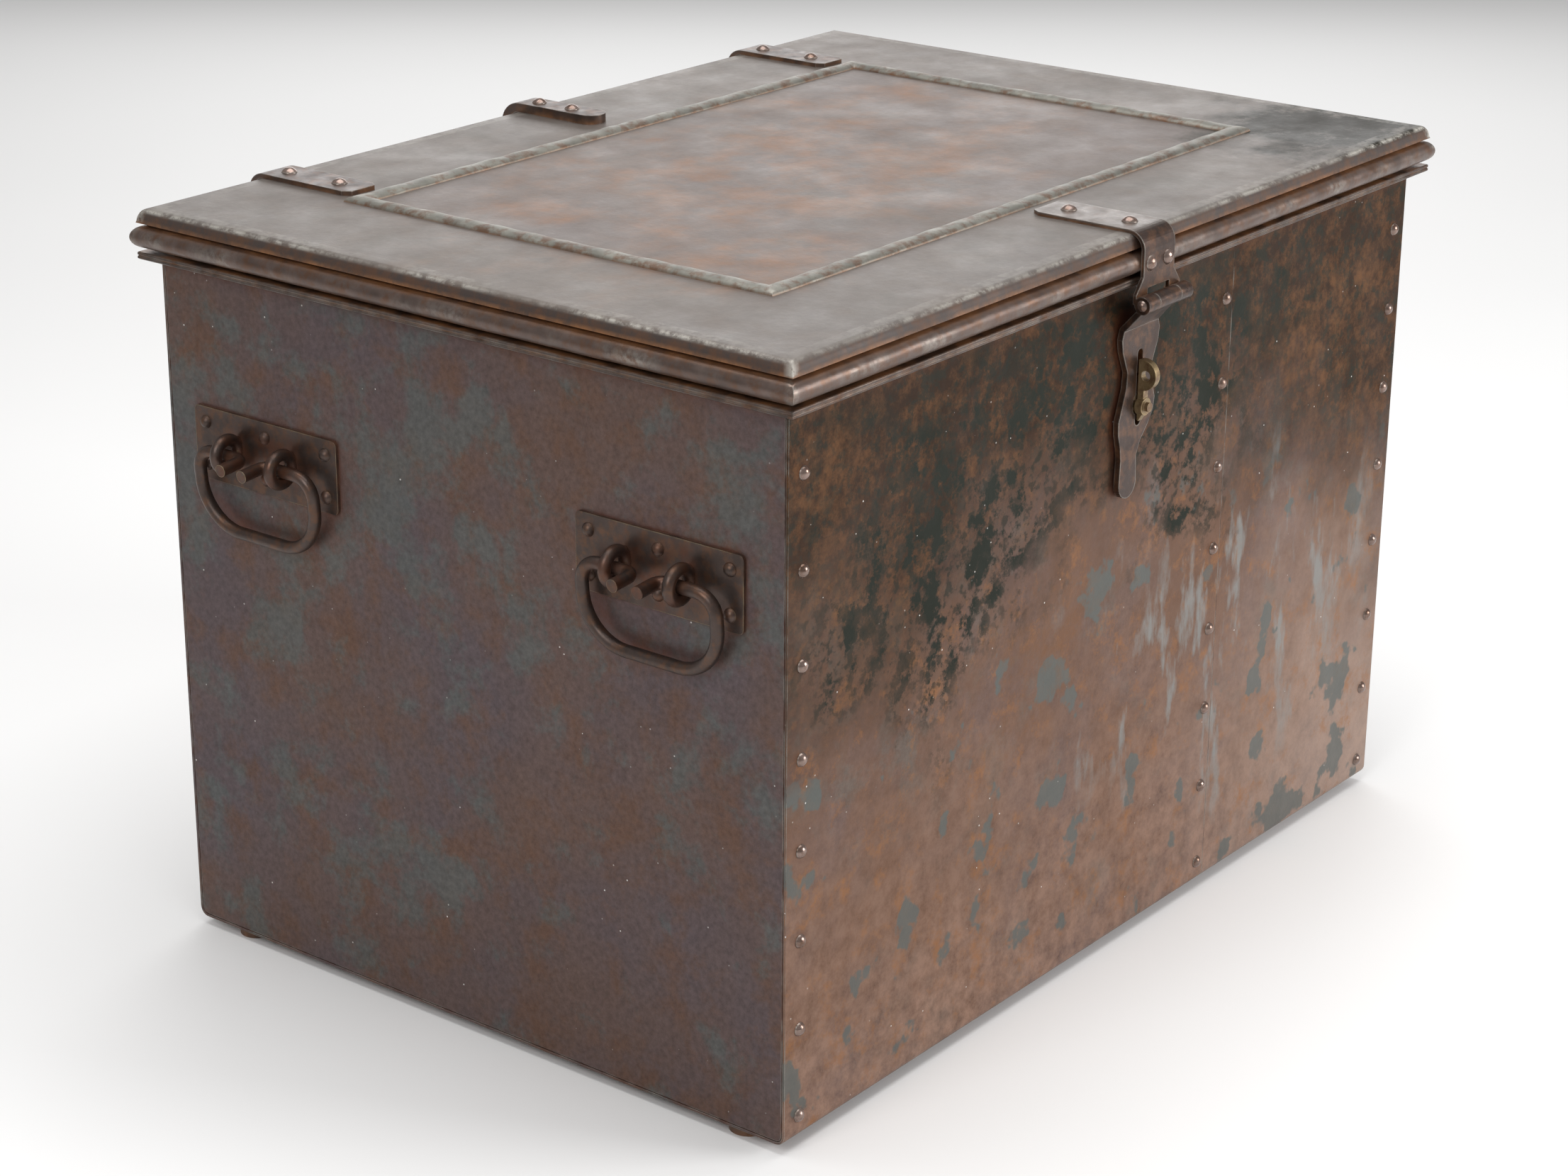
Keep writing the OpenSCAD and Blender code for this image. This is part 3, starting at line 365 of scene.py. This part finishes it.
def forged_material(name, base, worn, rust, wear_reach=1.2 * MM, rust_share=0.8, gloss=0.36,
                    eyes=False, rusty_from=None, pale_from=None):
    """Hammered iron: dark in the flats, bright along worn edges, rusty in its corners.
    eyes stains it round the handles' eyes. Above the height rusty_from it is rusty, and above
    pale_from it has the lid's colour."""
    s = Shader(name)
    uneven = s.noise(45.0, 6.0, 0.6)
    colour = s.mix(s.remap(uneven, 0.35, 0.65), base, times(base, 1.5))
    umber = s.remap(s.noise(90.0, 7.0, 0.68, shift=4.0), 0.47, 0.62, 0.0, 0.8)
    colour = s.mix(umber, colour, UMBER)
    grime = s.both(s.crevice(8 * MM), s.remap(s.noise(55.0, shift=8.0), 0.36, 0.60, 0.2, 1.0))
    colour = s.mix(s.both(grime, rust_share), colour, rust)
    if pale_from is not None:
        pale = s.remap(s.axis("Z"), pale_from, pale_from + 1.5 * MM, 0.0, 0.75)
        colour = s.mix(pale, colour, LID_STEEL)
    if rusty_from is not None:
        lodged = s.remap(s.axis("Z"), rusty_from, rusty_from + 3.5 * MM)
        lodged = s.both(lodged, s.remap(s.noise(32.0, 8.0, 0.74, shift=35.0), 0.38, 0.60, 0.0, 0.9))
        colour = s.mix(lodged, colour, s.shade(rust, 0.65))
        grime = s.either(grime, lodged)
    if eyes:
        stained = s.both(eye_rust(s), s.remap(s.noise(70.0, shift=12.0), 0.4, 0.6, 0.0, 0.8))
        colour = s.mix(stained, colour, EYE_RUST)
    chipped = s.remap(s.noise(130.0, 7.0, 0.74, shift=14.0), 0.42, 0.58, 0.1, 1.0)
    along_edges = s.both(s.edges(wear_reach), s.remap(uneven, 0.35, 0.6))
    rubbed = s.either(s.both(s.wear(), chipped), along_edges)
    colour = s.mix(s.both(rubbed, 0.62), colour, worn)
    roughness = s.remap(s.noise(70.0, 5.0, 0.6, shift=6.0), 0.3, 0.7, gloss - 0.07, gloss + 0.12)
    hammer = s.bump(s.noise(38.0, 2.0, 0.4), 2.0 * MM, 0.35, s.rounded(0.8 * MM))
    skin = s.bump(s.noise(320.0, 4.0, 0.6), 0.3 * MM, 0.35, hammer)
    metallic = s.remap(grime, 0.0, 1.0, 0.75, 0.15)
    return s.finish(colour, roughness, metallic, skin)


MATERIALS = {
    "body": body_material(),
    "lid": lid_material(),
    "forged": forged_material("forged_iron", DARK_FORGED, WORN_STEEL, ORANGE_RUST),
    "bead": forged_material("bead_iron", times(DARK_FORGED, 1.7), WORN_STEEL, ORANGE_RUST,
                            rusty_from=BEAD_TOP - 4.0 * MM),
    "handle": forged_material("handle_iron", DARK_FORGED, WORN_YELLOW, EYE_RUST,
                              wear_reach=1.0 * MM, rust_share=0.9, gloss=0.38, eyes=True),
    "hasp": forged_material("hasp_steel", HASP_BROWN, WORN_STEEL, ORANGE_RUST,
                            wear_reach=1.8 * MM, gloss=0.32, pale_from=LID_TOP + 1.0 * MM),
    "moulding": forged_material("moulding_iron", MOULDING_GREY, WORN_STEEL, ORANGE_RUST,
                                rust_share=0.9, gloss=0.45),
    "rivet": forged_material("rivet_steel", times(DARK_FORGED, 3.2), WORN_STEEL, UMBER,
                             wear_reach=2.2 * MM, rust_share=0.5, gloss=0.20),
    "bronze": forged_material("staple_bronze", BRONZE, WORN_BRONZE, UMBER,
                              wear_reach=1.0 * MM, rust_share=0.5, gloss=0.32),
}

# Each CAD node takes the first finish with a start of its name
FINISH_OF = {
    "body": ("end_plate_", "wrap_sheet_"),
    "lid": ("lid_top_sheet", "lid_border"),
    "handle": ("bail_", "handle_plate_", "plate_rivets"),
    "rivet": ("corner_rivets", "seam_rivets", "runner_rivets", "leaf_rivets", "strap_rivets",
               "stop_bar_rivets", "hasp_strap_rivets", "hinge_pin", "hasp_pin"),
    "hasp": ("hasp_strap", "hasp_plate"),
    "bronze": ("staple_", "swivel_staple"),
    "forged": ("",),
}


def finish_for(node):
    return next(key for key, starts in FINISH_OF.items() if node.startswith(starts))


for name, piece in NODES.items():
    piece.data.materials.clear()
    piece.data.materials.append(MATERIALS[finish_for(name)])


# ---- forged mouldings, with the smith's hammer marks ----

BAR_STEP = 4 * MM
HAMMER_PITCH = 37 * MM
MITRE_REACH = 7 * MM
SHARP_ANGLE = math.radians(50)


def wobble(point, per_metre, seed):
    """Smooth wandering value from -1 to 1."""
    return noise.noise(point * per_metre + Vector((seed, -seed, 0.5 * seed)))


def bar_around(name, half_x, half_y, section, shape, body, node, finish):
    """A mitred bar of the given section round a rectangle, which stands for a CAD node.
    section is a list of (outward, height). shape(place, outward, height, along, half_len) gives
    each point's own outward and height, and its wear from 0 to 1."""
    mesh = bpy.data.meshes.new(name)
    build = bmesh.new()
    wear = build.verts.layers.float.new("wear")
    rings = []
    for side in range(4):
        half_len, half_across = (half_x, half_y) if side % 2 == 0 else (half_y, half_x)
        turn = Matrix.Rotation(math.radians(90 * side), 3, "Z")
        steps = max(8, round(2 * half_len / BAR_STEP))
        for step in range(steps):
            share = 2 * step / steps - 1
            ring = []
            for outward, height in section:
                flat = Vector((share * (half_len + outward), -half_across - outward, height))
                place = turn @ flat
                along = share * half_len
                new_out, new_height, worn = shape(place, outward, height, along, half_len)
                flat = Vector((share * (half_len + new_out), -half_across - new_out, new_height))
                vertex = build.verts.new(turn @ flat)
                vertex[wear] = worn
                ring.append(vertex)
            rings.append(ring)
    count = len(section)
    for here, there in zip(rings, rings[1:] + rings[:1]):
        for i in range(count):
            j = (i + 1) % count
            build.faces.new((here[i], here[j], there[j], there[i]))
    bmesh.ops.recalc_face_normals(build, faces=build.faces)
    for face in build.faces:
        face.smooth = True
    build.to_mesh(mesh)
    build.free()
    mesh.set_sharp_from_angle(angle=SHARP_ANGLE)
    mesh.materials.append(MATERIALS[finish])
    piece = bpy.data.objects.new(name, mesh)
    bpy.context.scene.collection.objects.link(piece)
    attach(piece, body)
    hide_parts(node)


def mitre_wear(along, half_len):
    """1 at a mitred corner, 0 from a few millimetres along."""
    return max(0.0, 1.0 - (half_len - abs(along)) / MITRE_REACH)


def make_lid_moulding():
    """Raised bar on the lid, beaten flat every few centimetres."""
    low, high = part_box("lid_moulding")
    rise = high.z - LID_TOP
    half_x, half_y = (high.x - low.x - MOULDING_WIDTH) / 2, (high.y - low.y - MOULDING_WIDTH) / 2

    def shape(place, outward, height, along, half_len):
        beat = 0.5 + 0.5 * math.cos(2 * math.pi * along / HAMMER_PITCH + 2.5 * wobble(place, 9, 4))
        crown = max(0.0, (height - LID_TOP) / rise)
        lump = 1 - 0.13 * beat - 0.10 * (0.5 + 0.5 * wobble(place, 30, 2))
        sway = 0.5 * MM * wobble(place, 22, 7)
        worn = crown ** 3 * max(0.0, 0.8 * (1 - beat) + 0.5 * wobble(place, 40, 9)) * 0.8
        worn = max(worn, crown * mitre_wear(along, half_len))
        return outward + sway * crown, LID_TOP + (height - LID_TOP) * lump, min(1.0, worn)

    arc = [math.radians(a) for a in range(0, 181, 12)]
    half_width = MOULDING_WIDTH / 2
    section = [(half_width * math.cos(a), LID_TOP + rise * math.sin(a)) for a in arc]
    section += [(-half_width, LID_TOP - SUNK), (half_width, LID_TOP - SUNK)]
    bar_around("hammered_lid_moulding", half_x, half_y, section, shape, "lid", "lid_moulding",
               "moulding")


def make_lid_bead():
    """Half-round bead round the skirt, dented and rubbed."""
    low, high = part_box("lid_bead")
    middle_z, radius_z = (low.z + high.z) / 2, (high.z - low.z) / 2
    reach = high.x + LEFT_FACE - SKIRT_OUT + SUNK

    def shape(place, outward, height, along, half_len):
        bulge = max(0.0, (outward + reach) / reach)
        dent = 0.35 * MM * (1 + wobble(place, 26, 3))
        dent += 0.7 * MM * max(0.0, wobble(place, 60, 5) - 0.25)
        worn = 0.75 * bulge ** 5 * max(0.0, 1.1 * wobble(place, 30, 11) + 0.12)
        worn = max(worn, bulge ** 0.5 * mitre_wear(along, half_len))
        return outward - dent * bulge, height + 0.25 * MM * wobble(place, 35, 8), min(1.0, worn)

    arc = [math.radians(a) for a in range(-90, 91, 10)]
    section = [(-reach * (1 - math.cos(a)), middle_z + (radius_z - 0.3 * MM) * math.sin(a))
               for a in arc]
    bar_around("worn_lid_bead", high.x, high.y, section, shape, "lid", "lid_bead",
               "bead")


def make_lid_border():
    """The lid's border: skirt, crown and the rim of its flat top, with a chipped edge."""
    low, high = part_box("lid_border")
    crown_out = high.x + LEFT_FACE - CROWN_IN

    def shape(place, outward, height, along, half_len):
        on_crown = height > LID_TOP - CROWN_HIGH
        bulge = max(0.0, min(1.0, (outward - CROWN_IN) / crown_out)) if on_crown else 0.0
        chip = 0.5 * MM * max(0.0, wobble(place, 45, 6)) + 0.3 * MM * (1 + wobble(place, 16, 13))
        ridge = max(0.0, 1 - abs(height - (LID_TOP - 1.3 * MM)) / (1.7 * MM))
        worn = ridge * min(1.0, max(0.0, 0.75 + 0.9 * wobble(place, 18, 5)))
        worn = max(worn, bulge ** 0.5 * mitre_wear(along, half_len))
        return outward - chip * bulge, height - 0.3 * chip * bulge, min(1.0, worn)

    arc = [math.radians(a) for a in range(0, 91, 9)]
    section = [(SKIRT_OUT, low.z), (SKIRT_OUT, BEAD_TOP + SUNK),
               (SKIRT_OUT + 1.2 * MM, LID_TOP - CROWN_HIGH - 1.0 * MM)]
    section += [(CROWN_IN + crown_out * math.cos(a), LID_TOP - CROWN_HIGH * (1 - math.sin(a)))
                for a in arc]
    section += [(-BORDER_IN, LID_TOP), (-BORDER_IN, LID_TOP - LID_SHEET),
                (SKIRT_OUT - LID_SHEET, LID_TOP - LID_SHEET), (SKIRT_OUT - LID_SHEET, low.z)]
    bar_around("chipped_lid_border", -LEFT_FACE, -FRONT_FACE, section, shape, "lid", "lid_border",
               "lid")


make_lid_moulding()
make_lid_bead()
make_lid_border()


# ---- camera and studio ----

CAMERA_PLACE = Vector((-2.1615, -1.6475, 1.2784))
CAMERA_AZIMUTH = math.radians(-52.173)
CAMERA_ELEVATION = math.radians(20.842)
CAMERA_ROLL = math.radians(0.365)
LENS_MM = 78.45
SENSOR_MM = 36.0

FLOOR_HALF = 30.0
SKY_STRENGTH = 0.38
# Area lights, as (name, place, target, size, watts)
LIGHTS = (("key_front", (1.7, -3.2, 1.3), (0.1, -0.3, 0.25), (1.8, 1.4), 95),
          ("top", (0.0, 0.0, 2.8), (0.0, 0.0, 0.3), (2.4, 2.4), 62),
          ("back_card", (2.8, 2.2, 1.5), (0.0, 0.0, 0.6), (3.2, 1.6), 28),
          ("left_fill", (-2.9, -0.4, 2.2), (-0.4, 0.0, 0.3), (1.6, 1.6), 36))


def make_camera():
    back = Vector((math.sin(CAMERA_AZIMUTH) * math.cos(CAMERA_ELEVATION),
                   -math.cos(CAMERA_AZIMUTH) * math.cos(CAMERA_ELEVATION),
                   math.sin(CAMERA_ELEVATION)))
    right = Vector((0, 0, 1)).cross(back).normalized()
    up = back.cross(right)
    cosine, sine = math.cos(CAMERA_ROLL), math.sin(CAMERA_ROLL)
    turned = Matrix((cosine * right + sine * up, cosine * up - sine * right, back)).transposed()
    data = bpy.data.cameras.new("photo_camera")
    data.lens = LENS_MM
    data.sensor_width = SENSOR_MM
    camera = bpy.data.objects.new("photo_camera", data)
    camera.matrix_world = Matrix.Translation(CAMERA_PLACE) @ turned.to_4x4()
    bpy.context.scene.collection.objects.link(camera)
    bpy.context.scene.camera = camera


def make_floor():
    mesh = bpy.data.meshes.new("studio_floor")
    build = bmesh.new()
    bmesh.ops.create_grid(build, x_segments=2, y_segments=2, size=FLOOR_HALF)
    build.to_mesh(mesh)
    build.free()
    s = Shader("studio_floor")
    tone = s.mix(s.remap(s.noise(0.8, 2.0), 0.3, 0.7), FLOOR_WHITE, times(FLOOR_WHITE, 0.97))
    mesh.materials.append(s.finish(tone, 0.75, 0.0, s.bump(s.noise(40.0), 0.2 * MM, 0.05), 0.2))
    floor = bpy.data.objects.new("studio_floor", mesh)
    bpy.context.scene.collection.objects.link(floor)


def soft_light(name, place, target, size, watts):
    data = bpy.data.lights.new(name, "AREA")
    data.shape = "RECTANGLE"
    data.size, data.size_y = size
    data.energy = watts
    lamp = bpy.data.objects.new(name, data)
    lamp.location = place
    lamp.rotation_euler = (Vector(target) - Vector(place)).to_track_quat("-Z", "Y").to_euler()
    bpy.context.scene.collection.objects.link(lamp)


def make_studio():
    world = bpy.data.worlds.new("studio")
    world.use_nodes = True
    sky = world.node_tree.nodes["Background"]
    sky.inputs["Color"].default_value = (1.0, 1.0, 1.0, 1.0)
    sky.inputs["Strength"].default_value = SKY_STRENGTH
    bpy.context.scene.world = world
    bpy.context.scene.view_settings.view_transform = "Standard"
    for light in LIGHTS:
        soft_light(*light)


make_camera()
make_floor()
make_studio()
